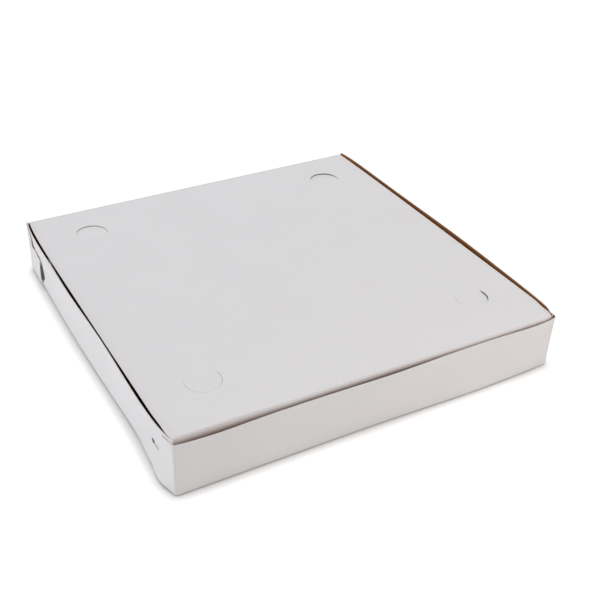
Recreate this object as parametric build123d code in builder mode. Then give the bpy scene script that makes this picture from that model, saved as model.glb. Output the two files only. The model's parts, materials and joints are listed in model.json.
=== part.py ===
"""Pizza box folded from one sheet of paperboard: a tray with four corner locks and a hinged lid.

Millimetres, +Z up, origin at the middle of the underside. The front wall faces -Y, and the lid turns
on the fold along the top of the back wall, at +Y. Four half-moon tabs in the lid pop up on their own
folds and hold a second box clear of the first.
"""

import os
from math import cos, radians, sin

from build123d import *

# The box, outside, closed
box_width = 304.8
box_depth = 304.8
box_height = 44.45

# The sheet: thickness, inside radius of a fold, and the air between two layers that lie together
board = 0.6
fold_radius = 0.8
layer_gap = 0.15

# How far the side walls stand above the lid, and how far the front wall's top lies below it
side_wall_rise = 1.2
front_wall_drop = 1.0

# Corner locks: each end of the front and back walls turns the corner, lies on the outside of the
# side wall and narrows to a tongue, which goes in through a slit and lies along the inside
front_slit_setback = 32.0
back_slit_setback = 37.0
slit_width = 2.2
slit_end_gap = 1.4
tongue_reach = 13.0
tongue_tip_radius = 5.0
tongue_bottom = 10.0
front_tongue_top = 22.5
back_tongue_top = 28.5
shoulder_start = 12.0
shoulder_end = 21.5
lock_hem = 2.5
lock_heel = 8.0

# Lid: the room beside it and in front of it, its rolled front fold, and the flap tucked behind the
# front wall, which leans inward so that it swings out clear of that wall
lid_side_gap = 0.8
lid_front_gap = 0.8
lid_fold_radius = 2.4
tuck_depth = 38.0
tuck_lean = 8.0
tuck_corner_radius = 16.0

# Stacking tabs: arcs cut through the lid, each with its fold on the side towards the lid's middle
tab_radius = 12.7
tab_fold_offset = 6.0
tab_kerf = 0.3
side_tab_setback = 42.4
back_tab_setback = 40.9
front_tab_setback = 48.4

# Worked out from the sizes above
outer_fold = fold_radius + board
middle_fold = fold_radius + board / 2
layer_step = board + layer_gap
side_face = box_width / 2 - layer_step
panel_width = 2 * (side_face - outer_fold)
panel_depth = box_depth - 2 * outer_fold
lid_top = box_height
side_wall_top = lid_top + side_wall_rise
front_wall_top = lid_top - front_wall_drop
back_wall_top = lid_top - board - layer_gap
slit_crossing = slit_width - layer_step
lid_width = 2 * (side_face - board - lid_side_gap)
lid_front = -box_depth / 2 + board + lid_front_gap
tab_spread = box_width / 2 - side_tab_setback


def lock_end(wall_top, tongue_top, slit_setback):
    """Left end of the front wall, from the end of the bottom fold round the corner to the tongue."""
    front = -box_depth / 2
    outside = -box_width / 2 + board / 2
    inside = outside + 2 * layer_step
    slit = front + slit_setback
    tip = slit + tongue_reach
    heel = slit - slit_width / 2

    with BuildPart() as end:
        # Seen from above: one strip of board, round the corner and through the slit
        with BuildSketch():
            with BuildLine():
                FilletPolyline(
                    (-panel_width / 2, front + board / 2),
                    (outside, front + board / 2),
                    (outside, slit - slit_crossing / 2),
                    (inside, slit + slit_crossing / 2),
                    (inside, tip),
                    radius=middle_fold,
                )
            trace(line_width=board)
        extrude(amount=wall_top)

        # Seen from the side: sloping shoulder, level tongue with a round tip, rounded heel
        with BuildSketch(Plane.YZ):
            with BuildLine():
                Polyline(
                    (heel, tongue_bottom),
                    (tip, tongue_bottom),
                    (tip, tongue_top),
                    (front + shoulder_end, tongue_top),
                    (front + shoulder_start, wall_top),
                    (front, wall_top),
                    (front, lock_hem),
                    (heel - lock_heel, lock_hem),
                )
                ThreePointArc(
                    (heel - lock_heel, lock_hem),
                    (
                        heel - lock_heel * (1 - sin(radians(45))),
                        tongue_bottom - (tongue_bottom - lock_hem) * cos(radians(45)),
                    ),
                    (heel, tongue_bottom),
                )
            make_face()
        extrude(amount=box_width, both=True, mode=Mode.INTERSECT)
        tip_edges = end.edges().filter_by(Axis.X).group_by(Axis.Y)[-1]
        fillet(tip_edges, radius=min(tongue_tip_radius, 0.45 * (tongue_top - tongue_bottom)))
    return end.part


def half_moon(radius):
    """Adds a disc to the sketch, cut off straight along the tab's fold."""
    Circle(radius)
    with Locations((0, -tab_fold_offset)):
        Rectangle(2 * radius, radius, align=(Align.CENTER, Align.MAX), mode=Mode.SUBTRACT)


front_lock = lock_end(front_wall_top, front_tongue_top, front_slit_setback)
back_lock = lock_end(back_wall_top, back_tongue_top, back_slit_setback).mirror(Plane.XZ)

with BuildPart() as tray:
    # Base and side walls, folded up along both sides
    with BuildSketch(Plane.XZ):
        with BuildLine():
            FilletPolyline(
                (-side_face, side_wall_top),
                (-side_face, 0),
                (side_face, 0),
                (side_face, side_wall_top),
                radius=outer_fold,
            )
            offset(amount=board, side=Side.LEFT)
        make_face()
    extrude(amount=panel_depth / 2, both=True)

    # Slits in the side walls, a little taller than the tongues
    for slit_y, tongue_top in (
        (front_slit_setback - box_depth / 2, front_tongue_top),
        (box_depth / 2 - back_slit_setback, back_tongue_top),
    ):
        slit_height = tongue_top - tongue_bottom + 2 * slit_end_gap
        with BuildSketch(Plane.YZ):
            with Locations((slit_y, (tongue_top + tongue_bottom) / 2)):
                SlotOverall(slit_height, slit_width, rotation=90)
        extrude(amount=box_width, both=True, mode=Mode.SUBTRACT)

    # Front and back walls, folded up from the same base
    with BuildSketch(Plane.YZ):
        with BuildLine():
            FilletPolyline(
                (-box_depth / 2, front_wall_top),
                (-box_depth / 2, 0),
                (box_depth / 2, 0),
                (box_depth / 2, back_wall_top),
                radius=outer_fold,
            )
            offset(amount=board, side=Side.LEFT)
        make_face()
    extrude(amount=panel_width / 2, both=True)

    # The locks at the four corners
    for lock in (front_lock, back_lock):
        add(lock)
        mirror(lock, about=Plane.YZ)
tray.part.label = "tray"

# Each tab's plane has its origin at the arc's centre and +Y towards the arc, away from the fold
tab_planes = {}
for end_name, tab_y, outward in (
    ("front", front_tab_setback - box_depth / 2, -1),
    ("back", box_depth / 2 - back_tab_setback, 1),
):
    for side_name, tab_x in (("left", -tab_spread), ("right", tab_spread)):
        tab_planes[f"stacking_tab_{end_name}_{side_name}"] = Plane(
            origin=(tab_x, tab_y, lid_top), x_dir=(outward, 0, 0), z_dir=(0, 0, 1)
        )

with BuildPart() as lid:
    # Panel, rolled front fold and tuck flap, in section
    with BuildSketch(Plane.YZ):
        with BuildLine():
            FilletPolyline(
                (box_depth / 2, lid_top),
                (lid_front, lid_top),
                (
                    lid_front + tuck_depth * sin(radians(tuck_lean)),
                    lid_top - tuck_depth * cos(radians(tuck_lean)),
                ),
                radius=lid_fold_radius + board,
            )
            offset(amount=board, side=Side.LEFT)
        make_face()
    extrude(amount=lid_width / 2, both=True)

    # The tuck flap's lower corners
    lid_ends = lid.faces().filter_by(Plane.YZ)
    tuck_corners = [face.edges().sort_by(Axis.Z)[0] for face in lid_ends]
    fillet(tuck_corners, radius=tuck_corner_radius)

    # The cuts round the stacking tabs
    for tab_plane in tab_planes.values():
        with BuildSketch(tab_plane):
            half_moon(tab_radius + tab_kerf)
        extrude(amount=-board, mode=Mode.SUBTRACT)
lid.part.label = "lid"

os.makedirs("parts", exist_ok=True)
export_step(tray.part, "parts/tray.step")
export_step(lid.part, "parts/lid.step")

for tab_name, tab_plane in tab_planes.items():
    with BuildPart() as stacking_tab:
        with BuildSketch(tab_plane):
            half_moon(tab_radius)
        extrude(amount=-board)
    stacking_tab.part.label = tab_name
    export_step(stacking_tab.part, f"parts/{tab_name}.step")
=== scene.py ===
"""Looks of a plain white pizza box, folded from one sheet of paperboard and closed.

Each piece is one face of the sheet, worked out as grids of points and then given the board's thickness:
white coated outside, brown kraft inside, raw along the cut edges. Metres, +Z up, in the frame of the
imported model: the front wall faces -Y, and the lid turns on the fold along the back wall, at +Y.
"""

import json
import math

import bpy
import numpy as np
from mathutils import Matrix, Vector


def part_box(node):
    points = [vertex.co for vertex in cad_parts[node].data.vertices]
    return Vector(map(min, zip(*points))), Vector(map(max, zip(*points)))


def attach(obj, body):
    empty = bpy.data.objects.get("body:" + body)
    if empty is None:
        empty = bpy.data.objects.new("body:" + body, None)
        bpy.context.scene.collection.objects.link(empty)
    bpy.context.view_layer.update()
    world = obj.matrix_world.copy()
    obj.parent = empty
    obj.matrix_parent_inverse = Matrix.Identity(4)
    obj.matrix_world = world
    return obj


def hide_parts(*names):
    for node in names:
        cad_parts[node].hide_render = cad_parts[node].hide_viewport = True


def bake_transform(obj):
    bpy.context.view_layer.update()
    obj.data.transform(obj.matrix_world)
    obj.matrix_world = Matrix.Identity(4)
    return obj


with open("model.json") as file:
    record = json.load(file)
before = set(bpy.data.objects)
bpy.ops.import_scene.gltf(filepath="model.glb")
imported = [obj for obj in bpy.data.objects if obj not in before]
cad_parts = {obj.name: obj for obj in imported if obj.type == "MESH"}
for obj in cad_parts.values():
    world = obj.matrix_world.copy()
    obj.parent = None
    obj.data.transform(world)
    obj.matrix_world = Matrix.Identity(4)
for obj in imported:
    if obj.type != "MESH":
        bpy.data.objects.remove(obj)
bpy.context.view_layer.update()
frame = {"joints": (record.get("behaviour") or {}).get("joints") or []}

MM = 0.001

# Places taken from the frame
half_width, half_depth, wall_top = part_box("tray")[1]
lid_half_width, _, lid_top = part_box("lid")[1]
joints = {joint["name"]: joint for joint in frame["joints"]}

# The board and its folds, as in the solids
board = 0.6 * MM
fold = 1.4 * MM
layer_step = 0.75 * MM
side_face = half_width - layer_step
panel_half_width = side_face - fold
panel_half_depth = half_depth - fold

# Upper edges of the front wall and of the back wall's ends
front_wall_drop = 1.5 * MM
front_wall_top = lid_top - front_wall_drop
back_wall_top = lid_top - layer_step

# Corner locks: distances are behind the wall's outer face, heights above the base. A shoulder is where the
# lock's upper edge starts down and where it reaches the tongue. A lock counts as outside the wall from a
# share of its crossing on
front_slit_setback = 32.0 * MM
back_slit_setback = 37.0 * MM
slit_half_width = 1.1 * MM
slit_crossing = 1.45 * MM
tongue_reach = 13.0 * MM
tongue_tip_radius = 5.0 * MM
outer_layer_start = 0.2
tongue_bottom = 10.0 * MM
front_tongue_top = 22.5 * MM
back_tongue_top = 28.5 * MM
front_shoulder = (12.0 * MM, 21.5 * MM)
back_shoulder = (11.5 * MM, 15.0 * MM)
lock_hem = 1.6 * MM
lock_heel = 9.0 * MM

# Slits: the heights of their ends, and how far each edge stands off the slit's line, all along and by a
# hill of size, height and spread. The front slits gape above their tongues, the back slits before theirs
front_slit_ends = (tongue_bottom - 0.2 * MM, front_tongue_top + 2.9 * MM)
front_slit_near = (slit_half_width, 2.4 * MM, 23.8 * MM, 2.2 * MM)
front_slit_far = (0.1 * MM, 1.3 * MM, 23.8 * MM, 2.2 * MM)
back_slit_ends = (tongue_bottom - 1.0 * MM, back_tongue_top + 0.3 * MM)
back_slit_near = (2.0 * MM, 1.4 * MM, 12.0 * MM, 8.0 * MM)
back_slit_far = (slit_half_width, 0.0, 12.0 * MM, 8.0 * MM)
slit_follow = 14.0 * MM

# How the locks stand off the side wall before the slit: hills of size, place behind the wall's face,
# length, height and spread in height. Behind the slit the front tongues are lower and the back tongues dive
# inwards. Painted shade: where a tongue dives, the coating is painted dark from a little before the slit,
# across a share of the dive's depth, at two levels, darker below the tongue's top and fading over a length
front_stand_offs = ((-0.14 * MM, 29 * MM, 6 * MM, 20 * MM, 60 * MM),)
back_stand_offs = (
    (1.4 * MM, 34 * MM, 6 * MM, 13 * MM, 13 * MM),
    (0.6 * MM, 14.5 * MM, 5 * MM, 29 * MM, 7 * MM),
)
front_tongue_drop = 4.0 * MM
back_tongue_dive = 5.0 * MM
painted_shade_lead = 1.9 * MM
painted_shade_share = 0.8
painted_shade_levels = (1.3, 1.7)
painted_shade_fade = 9.0 * MM
corner_wear_spread = 1.5 * MM

# Lid: its margins spread between the walls, by how much and within what distance of the hinge, and draw in
# again at the front corners, by what share, from where and over what length
lid_margin = 125.0 * MM
left_lid_spread = (2.9 * MM, 25.0 * MM)
right_lid_spread = (2.25 * MM, 70.0 * MM)
left_lid_corners = ((0.2, -118.0 * MM, 16.0 * MM), (0.4, -140.0 * MM, 10.0 * MM))
right_lid_corners = ((0.6, -126.0 * MM, 16.0 * MM), (0.5, -145.5 * MM, 4.5 * MM))

# The lid's front fold runs askew, nearer the wall on the right: where it starts and where the flap hangs,
# at places across the lid. It is a tight bend at the crease, which turns more on the right, and then a loose
# bend into the tuck flap, which draws in from the spread walls on its way down
front_fold_places = np.array([-150.0, -110.0, -60.0, 0.0, 40.0, 90.0, 144.0, 150.0]) * MM
front_fold_starts = np.array([-146.3, -146.6, -147.8, -148.5, -149.2, -149.7, -150.3, -149.2]) * MM
flap_fronts = np.array([-149.1, -149.3, -150.1, -150.7, -151.3, -151.9, -152.3, -151.0]) * MM
crease_radius = 1.5 * MM
crease_turns = np.radians([54.0, 66.0])
tuck_depth = 28.0 * MM
tuck_lean = math.radians(8.0)
tuck_corner_radius = 16.0 * MM
tuck_draw_start = 1.5 * MM
tuck_draw_in = 8.0 * MM

# The fold between back wall and lid: a quarter round, and a strip on either side that bends with it
hinge_radius = 2.2 * MM
hinge_lap = 1.5 * MM
hinge_low = lid_top - hinge_radius - hinge_lap
hinge_end = half_depth - hinge_radius - hinge_lap
hinge_wear = 0.7

# Stacking tabs: arcs of the holes and of the tabs, the folds' distance from the arcs' middle, and how much
# of a tab bends. The front right tab and its cut lie a little further out than the solid's
tab_names = [f"{end}_{side}" for end in ("front", "back") for side in ("left", "right")]
tab_hole_radius = 12.8 * MM
tab_radius = 12.66 * MM
tab_fold_offset = 6.0 * MM
tab_bend = 1.6 * MM
front_right_tab_shift = 2.1 * MM
tab_shift_spread = 22.0 * MM

# How far each tab has gone down: along its free edge, and more on its right side. What has sunk draws back
# from the cut by these shares, sideways and towards the fold
tab_sink = {
    "front_left": (0.0, 0.18 * MM),
    "front_right": (0.0, 1.1 * MM),
    "back_left": (0.8 * MM, 0.0),
    "back_right": (1.12 * MM, 0.0),
}
sunk_draw = (0.22, 0.08)
tilted_draw = 0.3
tilt_start = 4.0 * MM
tilt_power = 1.2

# How the board has sprung, with each hill as its size, its place along the wall and its spread. Both side
# walls spread outwards at the top, and the left one ripples towards the front
left_spread = 4.2 * MM
left_ripple = 0.5 * MM
ripple_crest = 37 * MM
ripple_length = 142 * MM
ripple_fade = 60 * MM
right_spread = 3.0 * MM
right_bows = ((2.0 * MM, -30 * MM, 75 * MM),)
right_corner_tuck = 1.45 * MM
right_corner_flare = 1.6 * MM
right_corner_place = -149 * MM
right_corner_spread = 5.0 * MM
side_strip = 2.0 * MM

# Powers: how far the spread holds on towards the corners, how much steeper it rises there, most of all at
# the back, and how suddenly the other moves end at the corners
left_front_fullness = 14
left_back_fullness = 8
right_fullness = 10
corner_steepness = 2
back_steepness = 3
corner_hold = 24

# The front wall leans and waves, the feet of the left and front walls bulge, and base and lid sag
front_lean = 1.3 * MM
front_waves = (
    (1.1 * MM, -121 * MM, 24 * MM),
    (1.5 * MM, 8 * MM, 40 * MM),
    (1.5 * MM, 130 * MM, 26 * MM),
)
left_foot_bulges = (
    (2.5 * MM, 20 * MM, 110 * MM),
    (2.9 * MM, -118 * MM, 20 * MM),
    (3.5 * MM, -139 * MM, 12 * MM),
)
front_foot_bulges = ((2.0 * MM, 85 * MM, 60 * MM),)
foot_height = 14 * MM
foot_reach = 14 * MM
left_foot_radius = 4.0 * MM
base_sag = 0.6 * MM
lid_sag = 0.5 * MM

# Points along the stretches of the grids
tray_across = 85
side_wall_rows = 57
end_wall_rows = 41
fold_rows = 8
front_lock_columns, middle_columns, back_lock_columns = 17, 91, 19
lock_path_step = 0.8 * MM
lock_arc_points = 9
lid_margin_columns, lid_middle_columns = 15, 61
hole_side_columns, hole_arc_columns = 6, 37
lid_back_rows, lid_middle_rows, lid_front_rows = 14, 72, 22
lid_bend_rows, flap_rows = 15, 22
hinge_columns, hinge_round_rows, hinge_lap_rows = 61, 13, 4
tab_columns, tab_rows, tab_bend_rows = 33, 30, 6

# Points closer than this are one point of the sheet, and edges sharper than this stay sharp
weld_distance = 1e-6
sharp_angle = math.radians(50)


def bump(t, centre, spread):
    """A smooth hill, exp(-((t - centre) / spread)^2)."""
    return np.exp(-(((t - centre) / spread) ** 2))


def hills(t, places):
    """Several hills together: the sum of size * bump(t, centre, spread)."""
    return sum(size * bump(t, centre, spread) for size, centre, spread in places)


def smooth_step(t):
    """0 up to t = 0, 1 from t = 1, and 3 t^2 - 2 t^3 between."""
    t = np.clip(t, 0.0, 1.0)
    return t * t * (3 - 2 * t)


def quarter_round(distance, radius):
    """How far a quarter circle has turned off its tangent: radius - sqrt(radius^2 - d^2), with the distance
    d along the tangent held between 0 and the radius."""
    d = np.clip(distance, 0.0, radius)
    return radius - np.sqrt(radius**2 - d**2)


def length_along(first, second):
    """Length from the start of a row of points, whose two coordinates are given, to each of them."""
    return np.append(0.0, np.cumsum(np.hypot(np.diff(first), np.diff(second))))


def grid(*coordinates):
    """Points or places of a grid from arrays that broadcast to its rows and columns."""
    return np.stack(np.broadcast_arrays(*coordinates), axis=-1)


class Sheet:
    """One face of a folded sheet of board, gathered from grids that share the points of their seams."""

    def __init__(self):
        self.points = np.zeros((0, 3))
        self.blank = np.zeros((0, 2))
        self.wear = np.zeros(0)
        self.quads = np.zeros((0, 4), int)

    def add(self, points, blank, wear=0.0, parted_rows=(), parted_columns=(), reverse=False):
        """Adds a grid of rows x columns points. Its faces look along row step x column step, or the other
        way if reverse. blank is where each point lay on the flat sheet. The sheet is cut after each
        parted row and column, and closes again wherever the two sides of the cut meet."""
        rows, columns = points.shape[:2]
        index = len(self.points) + np.arange(rows * columns).reshape(rows, columns)
        quads = np.stack([index[:-1, :-1], index[1:, :-1], index[1:, 1:], index[:-1, 1:]], axis=-1)
        quads = np.delete(quads, list(parted_rows), axis=0)
        quads = np.delete(quads, list(parted_columns), axis=1).reshape(-1, 4)
        self.quads = np.vstack([self.quads, quads[:, ::-1] if reverse else quads])
        self.points = np.vstack([self.points, points.reshape(-1, 3)])
        self.blank = np.vstack([self.blank, blank.reshape(-1, 2)])
        self.wear = np.append(self.wear, np.broadcast_to(wear, (rows, columns)).ravel())

    def weld(self):
        """Points that coincide become one. A quad with two equal corners becomes a triangle, and one with
        fewer than three corners goes. Returns the quads and the triangles."""
        keys = np.round(self.points / weld_distance).astype(np.int64)
        _, first, new_index = np.unique(keys, axis=0, return_index=True, return_inverse=True)
        self.points, self.blank, self.wear = self.points[first], self.blank[first], self.wear[first]
        quads = new_index.reshape(-1)[self.quads]
        repeated = quads == np.roll(quads, -1, axis=1)
        repeats = repeated.sum(axis=1)
        thin = quads[repeats == 1]
        return quads[repeats == 0], thin[~repeated[repeats == 1]].reshape(-1, 3)

    def normals(self, quads, triangles):
        """Unit normals of the points: each the sum of its faces' normals, as long as twice the face's area,
        which is the cross product of a quad's diagonals or of a triangle's sides."""
        points = self.points
        total = np.zeros_like(points)
        for faces, first, second in ((quads, (0, 2), (1, 3)), (triangles, (0, 1), (0, 2))):
            across = points[faces[:, first[1]]] - points[faces[:, first[0]]]
            along = points[faces[:, second[1]]] - points[faces[:, second[0]]]
            face_normals = np.repeat(np.cross(across, along), faces.shape[1], axis=0)
            np.add.at(total, faces.ravel(), face_normals)
        return total / np.linalg.norm(total, axis=1, keepdims=True)

    def build(self, name, finishes):
        """A closed piece: outer face, inner face one board below it along the point normals, and a rim
        along every open edge. finishes are the materials of those three."""
        quads, triangles = self.weld()

        # An edge that belongs to one face only is a cut edge of the board
        around = [np.stack([faces, np.roll(faces, -1, axis=1)], axis=-1) for faces in (quads, triangles)]
        edges = np.vstack([pairs.reshape(-1, 2) for pairs in around])
        _, which, count = np.unique(np.sort(edges, axis=1), axis=0, return_inverse=True, return_counts=True)
        start, end = edges[count[which.reshape(-1)] == 1].T
        below = len(self.points)
        rim = np.stack([start, start + below, end + below, end], axis=-1)

        groups = [quads, triangles, quads[:, ::-1] + below, triangles[:, ::-1] + below, rim]
        inner_points = self.points - self.normals(quads, triangles) * board
        all_points = np.vstack([self.points, inner_points])
        mesh = bpy.data.meshes.new(name)
        mesh.from_pydata(all_points.tolist(), [], [face for group in groups for face in group.tolist()])
        for finish in finishes:
            mesh.materials.append(finish)
        finish_index = np.repeat([0, 0, 1, 1, 2], [len(group) for group in groups])
        mesh.polygons.foreach_set("material_index", finish_index.astype(np.int32))
        mesh.polygons.foreach_set("use_smooth", np.ones(len(finish_index), bool))
        mesh.set_sharp_from_angle(angle=sharp_angle)

        # The flat sheet is the piece's UV map, in metres about the map's middle
        corners = np.zeros(len(mesh.loops), np.int32)
        mesh.loops.foreach_get("vertex_index", corners)
        blank = np.vstack([self.blank, self.blank]) + 0.5
        mesh.uv_layers.new(name="blank").data.foreach_set("uv", blank[corners].astype(np.float32).ravel())
        # The fold wear also carries painted shade where a tongue dives, in values above 1.2
        wear = mesh.attributes.new("fold_wear_and_shade", "FLOAT", "POINT")
        wear.data.foreach_set("value", np.append(self.wear, self.wear).astype(np.float32))
        mesh.update()

        piece = bpy.data.objects.new(name, mesh)
        bpy.context.scene.collection.objects.link(piece)
        return piece


def rounded_path(corners, radius, step):
    """Straight runs joined by arcs. Each arc starts radius * tan(turn / 2) before its corner, and its
    points are centre - side * radius * left(heading). Returns points about a step apart, and at each the
    unit vector to the right of the way."""
    corners = np.array(corners)
    runs = np.diff(corners, axis=0)
    headings = runs / np.linalg.norm(runs, axis=1, keepdims=True)
    points, ways = [corners[:1]], [headings[:1]]
    for corner, before, after in zip(corners[1:-1], headings[:-1], headings[1:]):
        turn = math.atan2(before[0] * after[1] - before[1] * after[0], before @ after)
        angle = np.linspace(0.0, turn, lock_arc_points)[:, None]
        way = before * np.cos(angle) + np.array([-before[1], before[0]]) * np.sin(angle)
        left = np.stack([-way[:, 1], way[:, 0]], axis=-1)
        start = corner - before * radius * math.tan(abs(turn) / 2)
        centre = start + math.copysign(radius, turn) * left[0]
        points.append(centre - math.copysign(radius, turn) * left)
        ways.append(way)
    points = np.vstack([*points, corners[-1:]])
    ways = np.vstack([*ways, headings[-1:]])

    length = length_along(points[:, 0], points[:, 1])
    stations = np.union1d(length, np.arange(0.0, length[-1], step))
    points = np.stack([np.interp(stations, length, points[:, k]) for k in (0, 1)], axis=-1)
    ways = np.stack([np.interp(stations, length, ways[:, k]) for k in (0, 1)], axis=-1)
    ways /= np.linalg.norm(ways, axis=1, keepdims=True)
    return points, np.stack([ways[:, 1], -ways[:, 0]], axis=-1)


def side_move(x, y, rise, v, corner_move):
    """How far a side wall moves out: its spread * (1 - v^n) * rise^m, with n larger at the left front and m
    larger towards the corners, most of all at the back. The left wall's spread has a ripple, which fades
    out behind its last crest, and the right wall's a bow. The top of the front right corner moves by
    corner_move."""
    ripple = left_ripple * (1 - smooth_step((y - ripple_crest) / ripple_fade))
    left = left_spread + ripple * np.cos(2 * np.pi * (y - ripple_crest) / ripple_length)
    right = right_spread + hills(y, right_bows)
    fullness = np.where(x < 0, np.where(y < 0, left_front_fullness, left_back_fullness), right_fullness)
    towards_back = np.clip(y / half_depth, 0.0, 1.0)
    steepness = 1 + corner_steepness * v**6 + back_steepness * towards_back**6
    out = np.where(x < 0, left, right) * (1 - v**fullness) * rise**steepness
    at_corner = bump(y, right_corner_place, right_corner_spread) * rise**6
    return out + np.where(x < 0, 0.0, corner_move) * at_corner


def left_foot_move(x, y, z):
    """How far the left wall's foot moves to the right: less than nothing for its bulges, which fade with
    height and under the base, and more for the locks, which follow the round foot."""
    under_base = smooth_step((-x - panel_half_width + foot_reach) / foot_reach)
    bulge = hills(y, left_foot_bulges) * under_base * bump(z, 0.0, foot_height)
    on_lock = smooth_step((-x - side_face) / layer_step)
    return quarter_round(left_foot_radius - z, left_foot_radius) * on_lock - bulge


def front_move(x, y, z, rise):
    """How far the front wall moves forward: lean and waves * rise^1.5, and bulges at its foot, which fade
    with height and under the base."""
    at_wall = smooth_step((-y - panel_half_depth) / (0.6 * fold))
    wave = (front_lean + hills(x, front_waves)) * rise**1.5 * at_wall
    under_base = smooth_step((-y - panel_half_depth + foot_reach) / foot_reach)
    return wave + hills(x, front_foot_bulges) * bump(z, 0.0, foot_height) * under_base


def sprung(points, corner_move):
    """The tray's points as the board has sprung, with rise = z / height, u = |x| / half width and
    v = |y| / half depth. The side walls spread, the left wall's foot moves by its move * (1 - v^24) and
    the front wall by its move * (1 - u^24), and the base sinks by sag * (1 - u^2) * (1 - v^2)."""
    x, y, z = points[..., 0], points[..., 1], points[..., 2]
    rise = np.clip(z / wall_top, 0.0, None)
    u = np.clip(np.abs(x) / half_width, 0.0, 1.0)
    v = np.clip(np.abs(y) / half_depth, 0.0, 1.0)
    above_fold = smooth_step(z / fold)
    at_side = smooth_step((np.abs(x) - panel_half_width + side_strip) / side_strip) * above_fold

    moved = points.copy()
    moved[..., 0] += np.sign(x) * side_move(x, y, rise, v, corner_move) * at_side
    moved[..., 0] += left_foot_move(x, y, z) * (1 - v**corner_hold)
    moved[..., 1] -= front_move(x, y, z, rise) * (1 - u**corner_hold)
    moved[..., 2] -= base_sag * (1 - u**2) * (1 - v**2) * (1 - above_fold)
    return moved


def tray_columns():
    """Places across the base, shared by the base, the bottom folds and the front and back walls."""
    return np.linspace(-panel_half_width, panel_half_width, tray_across)


def slit_gape(height, ends, edge):
    """How far a slit's edge stands off the slit's line at a height: (width + size * hill(height)) *
    sqrt(1 - |t|^6), with t from -1 to 1 between the slit's rounded ends."""
    low, high = ends
    width, size, centre, spread = edge
    t = (height - (low + high) / 2) / ((high - low) / 2)
    return (width + size * bump(height, centre, spread)) * np.sqrt(np.clip(1 - np.abs(t) ** 6, 0.0, 1.0))


def add_base_and_sides(sheet):
    """Left wall, base and right wall: a profile across the box, carried from front to back. The columns
    part along each slit, where y = slit - near(z) and slit + far(z), and the columns beside it follow,
    less and less."""
    heights = np.linspace(wall_top, fold, side_wall_rows)
    angle = np.linspace(0.0, math.pi / 2, fold_rows)[1:-1]
    across = tray_columns()
    left_x = np.concatenate([np.full(side_wall_rows, -side_face), -side_face + fold * (1 - np.cos(angle))])
    left_z = np.concatenate([heights, fold * (1 - np.sin(angle))])
    profile_x = np.concatenate([left_x, across, -left_x[::-1]])
    end_z = np.concatenate([left_z, np.zeros(tray_across), left_z[::-1]])
    profile_length = length_along(profile_x, end_z)
    profile_length -= profile_length[-1] / 2

    # Away from its ends the left wall has a larger fold at its foot
    profile_z = quarter_round(left_foot_radius - side_face - profile_x, left_foot_radius)
    profile_z[:side_wall_rows] = np.linspace(wall_top, left_foot_radius, side_wall_rows)
    profile_z = np.where(profile_x < 0, profile_z, end_z)

    front_slit = front_slit_setback - half_depth
    back_slit = half_depth - back_slit_setback
    y = np.concatenate(
        [
            np.linspace(-panel_half_depth, front_slit, front_lock_columns),
            np.linspace(front_slit, back_slit, middle_columns),
            np.linspace(back_slit, panel_half_depth, back_lock_columns),
        ]
    )
    front_cut = front_lock_columns - 1
    back_cut = front_lock_columns + middle_columns - 1

    index = np.arange(len(y))
    grid_y = np.broadcast_to(y, (len(profile_z), len(y))).copy()
    for chosen, slit, ends, edge, way in (
        (index <= front_cut, front_slit, front_slit_ends, front_slit_near, -1),
        ((index > front_cut) & (y < 0), front_slit, front_slit_ends, front_slit_far, 1),
        ((y >= 0) & (index <= back_cut), back_slit, back_slit_ends, back_slit_near, -1),
        (index > back_cut, back_slit, back_slit_ends, back_slit_far, 1),
    ):
        follow = np.clip(1 - np.abs(y[chosen] - slit) / slit_follow, 0.0, 1.0)
        grid_y[:, chosen] += way * slit_gape(profile_z, ends, edge)[:, None] * follow

    at_ends = np.clip(np.abs(grid_y) / panel_half_depth, 0.0, 1.0) ** corner_hold
    grid_z = profile_z[:, None] + at_ends * (end_z - profile_z)[:, None]
    points = sprung(grid(profile_x[:, None], grid_y, grid_z), -right_corner_tuck)
    wear = bump(end_z, fold / 2, fold) * (np.abs(profile_x) > panel_half_width)
    sheet.add(
        points,
        grid(profile_length[:, None], grid_y),
        wear[:, None],
        parted_columns=(front_cut, back_cut),
        reverse=True,
    )


def lock_edges(behind, wall_edge, tongue_top, slit_setback, shoulder, inner_drop):
    """Lower and upper edge of a lock, by distance behind the wall's face. The lower one is a hem, a quarter
    ellipse up to the slit and the tongue's underside. The upper one comes down along the shoulder, and by
    inner_drop at the slit. Both meet the tongue's tip in quarter rounds."""
    heel = slit_setback - slit_half_width
    heel_turn = np.clip((behind - heel + lock_heel) / lock_heel, 0.0, 1.0)
    low = tongue_bottom - (tongue_bottom - lock_hem) * np.sqrt(1 - heel_turn**2)
    bends = [*shoulder, slit_setback - MM, slit_setback + MM]
    high = np.interp(behind, bends, [wall_edge, tongue_top, tongue_top, tongue_top - inner_drop])
    tip_start = slit_setback + tongue_reach - tongue_tip_radius
    rounding = quarter_round(behind - tip_start, tongue_tip_radius)
    return low + rounding, high - rounding


def whole_wall(left, middle, mirror=1.0):
    """One row along an end wall: its left end, what lies between the corners, and the left end again,
    mirrored. The left end's last point is the first of the middle."""
    return np.concatenate([left[:-1], np.broadcast_to(middle, tray_across), mirror * left[-2::-1]])


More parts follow.
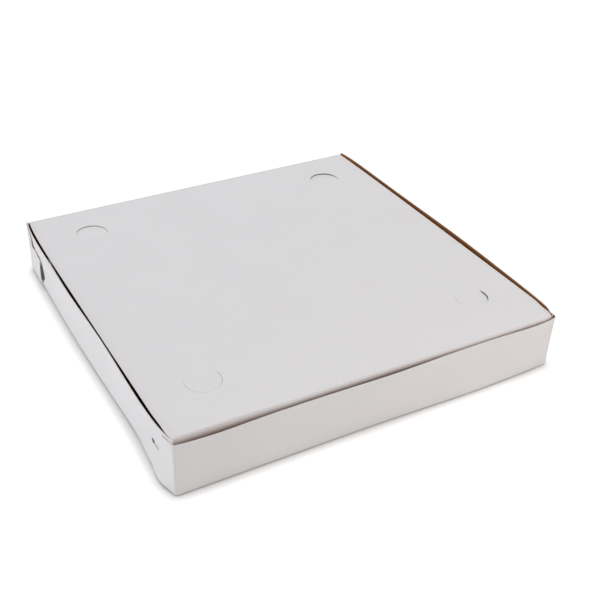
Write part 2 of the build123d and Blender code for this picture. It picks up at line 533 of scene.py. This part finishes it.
def add_end_wall(
    sheet, tops, tongue_top, slit_setback, shoulder, stand_offs, inner_drop=0.0, dive=0.0, turned=False
):
    """Front wall, its bottom fold and both locks; turned makes it the back wall. The wall is a strip along
    a path in plan, from tongue tip to tongue tip, between a lower and an upper edge:
    z = low + v (high - low). tops are the upper edge's heights between the corners and at them. Before the
    slit the lock stands off the side wall by hills, size * hill(distance behind the wall's face) * hill(z).
    Behind the slit the tongue dives away from the wall, and where a dive begins the coating is painted dark
    as shade, most of all low down."""
    slit = slit_setback - half_depth
    outside = -half_width + board / 2
    inside = outside + 2 * layer_step
    front = -half_depth + board / 2
    corners = [
        (inside + dive, slit + tongue_reach),
        (inside + dive, slit + slit_crossing / 2),
        (outside, slit - slit_crossing / 2),
        (outside, front),
        (-panel_half_width, front),
    ]
    end, outward = rounded_path(corners, fold - board / 2, lock_path_step)
    end = end + outward * board / 2

    behind = end[:, 1] + half_depth
    low, high = lock_edges(behind, tops[1], tongue_top, slit_setback, shoulder, inner_drop)
    outer_layer = smooth_step((inside - end[:, 0]) / (inside - outside) - outer_layer_start)
    across = tray_columns()
    x = whole_wall(end[:, 0], across, mirror=-1.0)
    y = whole_wall(end[:, 1], -half_depth)
    low = whole_wall(low, fold)
    high = whole_wall(high, tops[0])
    behind = whole_wall(behind, 0.0)
    side = whole_wall(-outer_layer, 0.0, mirror=-1.0)
    along = length_along(x, y)
    along -= along[-1] / 2

    v = np.linspace(0.0, 1.0, end_wall_rows)[:, None]
    z = low + v * (high - low)
    away = sum(
        size * bump(behind, place, length) * bump(z, height, tall)
        for size, place, length, height, tall in stand_offs
    )
    wall_x = x + side * away * smooth_step((z - lock_hem) / tongue_bottom)
    at_corner = bump(np.hypot(np.abs(x) - half_width, y + half_depth), 0.0, corner_wear_spread)
    # Painted shade where a tongue dives into its slit: values above 1.2 darken the coating, most of all low
    # down. The corners' wear is real wear
    at_dive = smooth_step((y - slit + painted_shade_lead) / MM) * (half_width - np.abs(x) < painted_shade_share * dive)
    low_down = smooth_step((tongue_top - z) / painted_shade_fade)
    wear_and_painted_shade = at_corner + at_dive * (painted_shade_levels[0] + painted_shade_levels[1] * low_down)

    angle = np.linspace(0.0, math.pi / 2, fold_rows)[:, None]
    fold_y = -half_depth + fold * (1 - np.sin(angle))
    fold_z = fold * (1 - np.cos(angle))

    half_turn = np.array([-1.0, -1.0, 1.0]) if turned else np.ones(3)
    for points, blank, wear in (
        (grid(wall_x, y, z), grid(along, -half_depth - z), wear_and_painted_shade),
        (grid(across, fold_y, fold_z), grid(across, fold_y - fold_z), 1.0),
    ):
        points = sprung(points * half_turn, right_corner_flare)
        sheet.add(points, blank * half_turn[:2], wear, reverse=True)


def make_tray(finishes):
    """Base, four walls and four locks, one sheet."""
    sheet = Sheet()
    add_base_and_sides(sheet)
    add_end_wall(
        sheet,
        (front_wall_top, front_wall_top),
        front_tongue_top,
        front_slit_setback,
        front_shoulder,
        front_stand_offs,
        inner_drop=front_tongue_drop,
    )
    add_end_wall(
        sheet,
        (hinge_low, back_wall_top),
        back_tongue_top,
        back_slit_setback,
        back_shoulder,
        back_stand_offs,
        dive=back_tongue_dive,
        turned=True,
    )
    tray = sheet.build("tray_board", finishes)
    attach(tray, "tray")
    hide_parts("tray")


def tab_place(name):
    """Middle of a tab's arc in the lid, and +1 or -1 for an arc towards the back or the front."""
    fold_x, fold_y, _ = joints[f"tab_fold_{name}"]["pos_m"]
    outward = 1.0 if name.startswith("back") else -1.0
    return fold_x, fold_y + outward * tab_fold_offset, outward


def lid_columns():
    """Places across the lid. Over each hole they are centre - radius * cos(angle), with the corners where
    the arc meets the fold among them."""
    corner = math.asin(tab_fold_offset / tab_hole_radius)
    angle = np.concatenate(
        [
            np.linspace(0.0, corner, hole_side_columns),
            np.linspace(corner, math.pi - corner, hole_arc_columns)[1:],
            np.linspace(math.pi - corner, math.pi, hole_side_columns)[1:],
        ]
    )
    spread = tab_place("front_right")[0]
    left = -spread - tab_hole_radius * np.cos(angle)
    right = spread - tab_hole_radius * np.cos(angle)
    return np.concatenate(
        [
            np.linspace(-lid_half_width, left[0], lid_margin_columns)[:-1],
            left,
            np.linspace(left[-1], right[0], lid_middle_columns)[1:-1],
            right,
            np.linspace(right[-1], lid_half_width, lid_margin_columns)[1:],
        ]
    )


def lid_sag_at(x, y):
    """The lid panel dips by lid_sag in the middle: cos(pi x / width) * cos(pi y / depth)."""
    across = np.cos(np.pi * x / (2 * half_width))
    return -lid_sag * across * np.cos(np.pi * np.clip(y / (2 * hinge_end), -0.5, 0.5))


def lid_spread_at(x, y):
    """How far a lid point moves sideways. The margins move out by size * (1 - exp(-d / reach)), with d the
    distance from the hinge, and draw in again at the front corners. Round the front right tab the cut lies
    further right: shift * hill(x) * hill(y)."""
    size = np.where(x < 0, left_lid_spread[0], right_lid_spread[0])
    reach = np.where(x < 0, left_lid_spread[1], right_lid_spread[1])
    from_hinge = 1 - np.exp(-np.clip(hinge_end - y, 0.0, None) / reach)
    left, right = (
        1 - sum(share * smooth_step((start - y) / length) for share, start, length in corners)
        for corners in (left_lid_corners, right_lid_corners)
    )
    corner = np.where(x < 0, left, right)
    margin = smooth_step((np.abs(x) - lid_margin) / (lid_half_width - lid_margin))
    tab_x, tab_y, _ = tab_place("front_right")
    shift = front_right_tab_shift * bump(x, tab_x, tab_shift_spread) * bump(y, tab_y, tab_shift_spread)
    return np.sign(x) * size * from_hinge * corner * margin + shift


def front_fold(x):
    """Section of the lid's front, one column for each x: a tight bend at the crease, a loose bend to the
    tuck flap's lean, and the flap. From heading a1 to a2, measured down from level, a bend of radius r goes
    r (sin a2 - sin a1) forward and r (cos a1 - cos a2) down; the loose bend's radius is what it takes to
    reach the flap's front. Returns y, z, length along the board, bending, and lengths down the flap."""
    start = np.interp(x, front_fold_places, front_fold_starts)
    forward = start - np.interp(x, front_fold_places, flap_fronts)
    crease = np.interp(x, [-lid_half_width, lid_half_width], crease_turns)
    loose_radius = (forward - crease_radius * np.sin(crease)) / (1 - np.sin(crease))

    t = np.linspace(0.0, 1.0, lid_bend_rows)[:, None]
    tight = t * crease
    loose = crease + t[1:] * (math.pi / 2 + tuck_lean - crease)
    tight_y = start - crease_radius * np.sin(tight)
    tight_z = lid_top - crease_radius * (1 - np.cos(tight))
    loose_y = tight_y[-1] - loose_radius * (np.sin(loose) - np.sin(crease))
    loose_z = tight_z[-1] - loose_radius * (np.cos(crease) - np.cos(loose))
    down = np.linspace(0.0, tuck_depth, flap_rows)[1:, None]
    y = np.vstack([tight_y, loose_y, loose_y[-1] + down * math.sin(tuck_lean)])
    z = np.vstack([tight_z, loose_z, loose_z[-1] - down * math.cos(tuck_lean)])

    loose_length = crease_radius * crease + loose_radius * (loose - crease)
    length = np.vstack([crease_radius * tight, loose_length, loose_length[-1] + down])
    bending = np.vstack([bump(t, 0.5, 0.4), np.zeros((len(loose) + len(down), 1))])
    return y, z, length, bending, down


def make_lid(finishes):
    """Panel, front fold and tuck flap. Rows run from the hinge to the flap's tip. The panel's rows part
    along the middle of each pair of tabs, opening by sqrt(radius^2 - dx^2) on the arc's side and by no more
    than the fold's offset on the other. The flap loses the panel's spread on its way down, and narrows to
    its rounded tip."""
    x = lid_columns()
    spread, back_y, _ = tab_place("back_right")
    front_y = tab_place("front_right")[1]
    arc = np.sqrt(np.clip(tab_hole_radius**2 - (np.abs(x) - spread) ** 2, 0.0, None))
    chord = np.minimum(arc, tab_fold_offset)

    fold_y, fold_z, fold_length, bending, down = front_fold(x)
    start = fold_y[0]
    panel_y = np.vstack(
        [
            np.linspace(hinge_end, back_y + arc, lid_back_rows),
            np.linspace(back_y - chord, front_y + chord, lid_middle_rows),
            np.linspace(front_y - arc, start, lid_front_rows),
        ]
    )
    cuts = (lid_back_rows - 1, lid_back_rows + lid_middle_rows - 1)

    narrowing = quarter_round(down - (tuck_depth - tuck_corner_radius), tuck_corner_radius)
    rows_above_flap = len(panel_y) + len(fold_y) - 1 - len(down)
    share = np.vstack([np.ones((rows_above_flap, 1)), 1 - narrowing / lid_half_width])

    flat_y = np.vstack([panel_y, start - fold_length[1:]])
    grid_y = np.vstack([panel_y, fold_y[1:]])
    level_z = np.vstack([np.full(panel_y.shape, lid_top), fold_z[1:]])
    held_out = 1 - smooth_step((lid_top - level_z - tuck_draw_start) / tuck_draw_in)
    grid_x = share * x + held_out * lid_spread_at(share * x, np.maximum(grid_y, start))
    grid_z = level_z + lid_sag_at(grid_x, np.maximum(grid_y, start))
    wear = np.vstack([np.zeros((len(panel_y), 1)), bending[1:]])

    sheet = Sheet()
    sheet.add(grid(grid_x, grid_y, grid_z), grid(share * x, flat_y), wear, parted_rows=cuts)
    lid = sheet.build("lid_board", finishes)
    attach(lid, "lid")
    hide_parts("lid")


def make_hinge(finishes):
    """The fold between back wall and lid: a short run up the wall, a quarter round, a short run into the
    lid."""
    angle = np.linspace(0.0, math.pi / 2, hinge_round_rows)
    round_y = half_depth - hinge_radius * (1 - np.cos(angle))
    round_z = lid_top - hinge_radius * (1 - np.sin(angle))
    lap = np.linspace(0.0, hinge_lap, hinge_lap_rows)
    y = np.concatenate([np.full(len(lap) - 1, half_depth), round_y, round_y[-1] - lap[1:]])
    z = np.concatenate([hinge_low + lap[:-1], round_z, np.full(len(lap) - 1, lid_top)])
    x = np.linspace(-lid_half_width, lid_half_width, hinge_columns)
    length = length_along(y, z)
    sheet = Sheet()
    sheet.add(grid(x, y[:, None], z[:, None]), grid(x, half_depth - length[:, None]), hinge_wear)
    hinge = sheet.build("hinge_fold", finishes)
    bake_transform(hinge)


def make_tab(name, finishes):
    """A half moon in rows parallel to its fold: distance v from the fold, half width
    sqrt(radius^2 - (v - offset)^2). It sinks by its sink * sin(90 degrees * v / reach), and on its right
    side by tilt * ((1 + across) / 2)^1.2 * step(v / 4 mm), with across from -1 to 1 over its width. What
    has sunk draws back from the cut by a share of that. The tab bends at the fold."""
    centre_x, centre_y, outward = tab_place(name)
    sink, tilt = tab_sink[name]
    reach = tab_radius + tab_fold_offset
    rise = np.linspace(-math.asin(tab_fold_offset / tab_radius), math.pi / 2, tab_rows)
    v = np.union1d(tab_fold_offset + tab_radius * np.sin(rise), np.linspace(0.0, tab_bend, tab_bend_rows))
    v = np.clip(v, 0.0, reach)[:, None]
    u = np.linspace(-1.0, 1.0, tab_columns)
    flat_x = centre_x + u * np.sqrt(np.clip(tab_radius**2 - (v - tab_fold_offset) ** 2, 0.0, None))
    flat_y = np.broadcast_to(centre_y + outward * (v - tab_fold_offset), flat_x.shape)
    sunk = sink * np.sin(np.pi / 2 * v / reach)
    across = (flat_x - centre_x) / tab_radius
    tilted = tilt * ((1 + across) / 2) ** tilt_power * smooth_step(v / tilt_start)
    x = flat_x + lid_spread_at(flat_x, flat_y) - tilted_draw * tilted - sunk_draw[0] * sunk
    y = flat_y - outward * sunk_draw[1] * sunk
    z = lid_top + lid_sag_at(x, y) - sunk - tilted
    sheet = Sheet()
    sheet.add(grid(x, y, z), grid(flat_x, flat_y), reverse=outward > 0)
    tab = sheet.build(f"tab_board_{name}", finishes)
    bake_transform(tab)
    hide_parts(f"stacking_tab_{name}")


class Nodes:
    """The nodes of a material or of the surround, and short ways to add and join them."""

    def __init__(self, tree):
        self.tree = tree

    def node(self, kind, inputs=None, **settings):
        """A new node with these settings. An input, by name or number, gets a value or another's output."""
        made = self.tree.nodes.new(kind)
        for key, value in settings.items():
            setattr(made, key, value)
        for key, value in (inputs or {}).items():
            if isinstance(value, bpy.types.NodeSocket):
                self.tree.links.new(value, made.inputs[key])
            else:
                made.inputs[key].default_value = value
        return made

    def ramp(self, value, low, high, from_low=0.3, from_high=0.7):
        """low where the value is from_low or less, high where it is from_high or more, even between."""
        inputs = {"Value": value, "From Min": from_low, "From Max": from_high}
        inputs |= {"To Min": low, "To Max": high}
        return self.node("ShaderNodeMapRange", inputs).outputs["Result"]

    def seen_directly(self):
        """1 for rays from the camera and for mirror and see-through rays, 0 for the light on the object."""
        path = self.node("ShaderNodeLightPath")
        total = path.outputs["Is Camera Ray"]
        for name in ("Is Glossy Ray", "Is Transmission Ray"):
            inputs = {0: total, 1: path.outputs[name]}
            total = self.node("ShaderNodeMath", inputs, operation="MAXIMUM").outputs[0]
        return total


class Finish(Nodes):
    """A surface of the board: a material under way."""

    def __init__(self, name):
        self.material = bpy.data.materials.new(name)
        self.material.use_nodes = True
        super().__init__(self.material.node_tree)
        self.shader = self.tree.nodes["Principled BSDF"]

    def flat_sheet(self):
        """Where a point lay on the flat sheet."""
        return self.node("ShaderNodeUVMap", uv_map="blank").outputs["UV"]

    def noise(self, place, scale, detail, stretch=(1.0, 1.0, 1.0)):
        """Noise over a place: scale is in features per metre, times the stretch along each axis."""
        moved = self.node("ShaderNodeMapping", {"Vector": place, "Scale": stretch}).outputs["Vector"]
        inputs = {"Vector": moved, "Scale": scale, "Detail": detail}
        return self.node("ShaderNodeTexNoise", inputs).outputs["Fac"]

    def mix(self, factor, first, second):
        """The first colour at factor 0, the second at 1. A colour node's inputs are numbers 0, 6 and 7."""
        inputs = {0: factor, 6: first, 7: second}
        return self.node("ShaderNodeMix", inputs, data_type="RGBA").outputs[2]

    def bumps(self, *layers):
        """Heights in metres, each a noise and its depth, one bump on another."""
        normal = None
        for height, depth in layers:
            inputs = {"Height": height, "Strength": 1.0, "Distance": depth}
            if normal is not None:
                inputs["Normal"] = normal
            normal = self.node("ShaderNodeBump", inputs).outputs["Normal"]
        self.tree.links.new(normal, self.shader.inputs["Normal"])

    def surface(self, colour, roughness, specular):
        """Joins a colour and a roughness to the shader, and sets how strongly it mirrors."""
        self.tree.links.new(colour, self.shader.inputs["Base Color"])
        self.tree.links.new(roughness, self.shader.inputs["Roughness"])
        self.shader.inputs["Specular IOR Level"].default_value = specular


def coated_white():
    """Clay-coated white face: faint cloudiness, a fine satin grain, duller and greyer along the folds, and
    painted dark as shade where a tongue dives into its slit."""
    dull_white = (0.757, 0.745, 0.766, 1)
    clear_white = (0.775, 0.765, 0.786, 1)
    fibre_grey = (0.71, 0.70, 0.705, 1)
    fold_grey = (0.56, 0.54, 0.51, 1)
    painted_shade_dark = (0.13, 0.12, 0.115, 1)

    finish = Finish("coated_white")
    place = finish.flat_sheet()
    clouds = finish.noise(place, scale=22.0, detail=3.0)
    grain = finish.noise(place, scale=520.0, detail=3.0, stretch=(1.0, 1.6, 1.0))
    fibres = finish.noise(place, scale=240.0, detail=4.0, stretch=(0.25, 4.0, 1.0))
    wear = finish.node("ShaderNodeAttribute", attribute_name="fold_wear_and_shade").outputs["Fac"]
    colour = finish.mix(finish.ramp(clouds, 0.0, 1.0), dull_white, clear_white)
    colour = finish.mix(finish.ramp(fibres, 0.0, 0.3), colour, fibre_grey)
    colour = finish.mix(finish.ramp(wear, 0.0, 0.35, from_low=0.0, from_high=1.0), colour, fold_grey)
    # Painted shade: fold wear above 1.2 turns the coating dark where a tongue dives into its slit
    colour = finish.mix(finish.ramp(wear, 0.0, 1.0, from_low=1.2, from_high=2.6), colour, painted_shade_dark)
    finish.surface(colour, roughness=finish.ramp(grain, 0.48, 0.62), specular=0.35)
    finish.bumps((clouds, 0.4 * MM), (grain, 0.02 * MM), (fibres, 0.012 * MM))
    return finish.material


def kraft_inside():
    """Uncoated brown face: long fibres along the grain, dark and pale flecks, dry and rough."""
    deep_brown = (0.49, 0.178, 0.052, 1)
    warm_brown = (0.55, 0.22, 0.074, 1)
    fibre_brown = (0.36, 0.13, 0.04, 1)
    dark_fleck = (0.15, 0.085, 0.045, 1)
    pale_fleck = (0.58, 0.41, 0.26, 1)

    finish = Finish("kraft_inside")
    place = finish.flat_sheet()
    clouds = finish.noise(place, scale=30.0, detail=3.0)
    fibres = finish.noise(place, scale=330.0, detail=5.0, stretch=(0.22, 3.2, 1.0))
    flecks = finish.noise(place, scale=620.0, detail=2.0, stretch=(0.6, 1.8, 1.0))
    colour = finish.mix(finish.ramp(clouds, 0.0, 1.0), deep_brown, warm_brown)
    colour = finish.mix(finish.ramp(fibres, 0.0, 0.6), colour, fibre_brown)
    colour = finish.mix(finish.ramp(flecks, 0.0, 0.8, from_low=0.66, from_high=0.74), colour, dark_fleck)
    colour = finish.mix(finish.ramp(flecks, 0.6, 0.0, from_low=0.27, from_high=0.34), colour, pale_fleck)
    finish.surface(colour, roughness=finish.ramp(fibres, 0.82, 0.95), specular=0.2)
    finish.bumps((clouds, 0.4 * MM), (fibres, 0.06 * MM), (flecks, 0.03 * MM))
    return finish.material


def raw_edge():
    """Cut edge of the board: pale fibre core, uneven where the knife went through."""
    grey_core = (0.66, 0.645, 0.625, 1)
    pale_core = (0.73, 0.72, 0.705, 1)
    torn_grey = (0.56, 0.54, 0.515, 1)

    finish = Finish("raw_edge")
    place = finish.node("ShaderNodeTexCoord").outputs["Object"]
    torn = finish.noise(place, scale=900.0, detail=3.0)
    streaks = finish.noise(place, scale=260.0, detail=4.0)
    colour = finish.mix(finish.ramp(streaks, 0.0, 1.0), grey_core, pale_core)
    colour = finish.mix(finish.ramp(torn, 0.0, 0.5), colour, torn_grey)
    finish.surface(colour, roughness=finish.ramp(torn, 0.8, 0.95), specular=0.15)
    finish.bumps((torn, 0.05 * MM))
    return finish.material


def white_floor():
    """Matt white, its paint darker within a contact reach of the box as a painted contact shadow. Seen
    directly it glows a little, and more far from the box, so that it is white there and still keeps the
    shadow beside the box."""
    contact_reach = 8.0 * MM
    contact_shade_white, open_white = 0.67, 0.96
    near_glow, far_glow = 0.22, 0.5
    near, far = 0.3, 0.7

    material = bpy.data.materials.new("white_floor")
    material.use_nodes = True
    material.node_tree.nodes.clear()
    floor = Nodes(material.node_tree)
    # Painted contact shadow: the floor's paint darkens where the box shuts out the surround
    contact = floor.node("ShaderNodeAmbientOcclusion", {"Distance": contact_reach}, samples=4)
    white = floor.ramp(contact.outputs["AO"], contact_shade_white, open_white, from_low=0.45, from_high=1.0)
    place = floor.node("ShaderNodeTexCoord").outputs["Object"]
    distance = floor.node("ShaderNodeVectorMath", {0: place}, operation="LENGTH").outputs["Value"]
    level = floor.ramp(distance, near_glow, far_glow, from_low=near, from_high=far)
    seen_level = floor.node("ShaderNodeMath", {0: floor.seen_directly(), 1: level}, operation="MULTIPLY")
    paint = floor.node("ShaderNodeBsdfDiffuse", {"Color": white})
    glow = floor.node("ShaderNodeEmission", {"Color": white, "Strength": seen_level.outputs[0]})
    both = floor.node("ShaderNodeAddShader", {0: paint.outputs[0], 1: glow.outputs[0]})
    floor.node("ShaderNodeOutputMaterial", {"Surface": both.outputs[0]})
    return material


def make_floor():
    """A wide floor just below the sagging base: a square of half side reach."""
    reach = 8.0
    clearance = 0.05 * MM
    corners = reach * np.array([[-1.0, -1.0, 0.0], [1.0, -1.0, 0.0], [1.0, 1.0, 0.0], [-1.0, 1.0, 0.0]])
    mesh = bpy.data.meshes.new("floor")
    mesh.from_pydata((corners - [0.0, 0.0, base_sag + clearance]).tolist(), [], [[0, 1, 2, 3]])
    mesh.materials.append(white_floor())
    floor = bpy.data.objects.new("floor", mesh)
    bpy.context.scene.collection.objects.link(floor)


def placed(turn, place):
    """The matrix that turns by the columns of turn and then moves to a place."""
    return Matrix(np.vstack([np.column_stack([turn, place]), [0.0, 0.0, 0.0, 1.0]]).tolist())


def aim_at_box(lamp, place):
    """A holder for a lamp at a place, turned to face the origin. Up is a little off +Z, so that a lamp
    straight above has a side to turn to."""
    back = np.array(place) / np.linalg.norm(place)
    right = np.cross([0.0, 0.01, 1.0], back)
    right /= np.linalg.norm(right)
    holder = bpy.data.objects.new(lamp.name, lamp)
    holder.matrix_world = placed(np.stack([right, np.cross(back, right), back], axis=-1), place)
    bpy.context.scene.collection.objects.link(holder)


def make_light():
    """A broad soft light straight above, an even white surround, and low lamps that fill the walls."""
    world = bpy.data.worlds.new("surround")
    bpy.context.scene.world = world
    world.use_nodes = True
    surround = Nodes(world.node_tree)
    level = surround.ramp(surround.seen_directly(), 0.20, 1.0, from_low=0.0, from_high=1.0)
    sky = world.node_tree.nodes["Background"]
    sky.inputs["Color"].default_value = (1.0, 1.0, 1.0, 1)
    world.node_tree.links.new(level, sky.inputs["Strength"])

    overhead = bpy.data.lights.new("overhead", "SUN")
    overhead.energy = 1.85
    overhead.angle = math.radians(32.0)
    aim_at_box(overhead, (0.0, 0.0, 2.0))

    # Low lamps: place, width, power and colour
    white, warm = (1.0, 1.0, 1.0), (1.0, 0.89, 0.78)
    low_lamps = {
        "left_lamp": ((-1.3, 0.05, 0.2), 1.4, 5.3, white),
        "front_lamp": ((0.27, -0.65, 0.2), 0.4, 0.96, warm),
        "back_lamp": ((0.6, 1.2, 0.2), 1.5, 2.5, white),
    }
    lamp_height = 0.36
    for name, (place, width, power, colour) in low_lamps.items():
        lamp = bpy.data.lights.new(name, "AREA")
        lamp.shape = "RECTANGLE"
        lamp.size = width
        lamp.size_y = lamp_height
        lamp.energy = power
        lamp.color = colour
        aim_at_box(lamp, place)


def make_camera():
    """The photograph's view: azimuth and elevation turn about the origin, then the view is rolled, and the
    eye moves right, up and back in its own frame by shares of the box's width."""
    azimuth, elevation, roll = np.radians([-30.60, 33.79, 2.24])
    shares = np.array([0.0671, 0.0347, 2.628])
    focal_pixels, picture_pixels = 994.0, 600.0
    back = np.array(
        [
            math.sin(azimuth) * math.cos(elevation),
            -math.cos(azimuth) * math.cos(elevation),
            math.sin(elevation),
        ]
    )
    level_right = np.array([math.cos(azimuth), math.sin(azimuth), 0.0])
    level_up = np.cross(back, level_right)
    right = math.cos(roll) * level_right + math.sin(roll) * level_up
    up = math.cos(roll) * level_up - math.sin(roll) * level_right
    turn = np.stack([right, up, back], axis=-1)
    camera = bpy.data.objects.new("camera", bpy.data.cameras.new("camera"))
    camera.data.sensor_width = 36.0
    camera.data.lens = focal_pixels / picture_pixels * camera.data.sensor_width
    camera.data.clip_start = 0.05
    camera.data.clip_end = 50.0
    camera.matrix_world = placed(turn, turn @ (shares * 2 * half_width))
    bpy.context.scene.collection.objects.link(camera)
    bpy.context.scene.camera = camera


board_finishes = (coated_white(), kraft_inside(), raw_edge())
make_tray(board_finishes)
make_lid(board_finishes)
make_hinge(board_finishes)
for tab_name in tab_names:
    make_tab(tab_name, board_finishes)
make_floor()
make_light()
make_camera()
bpy.context.scene.view_settings.view_transform = "Standard"
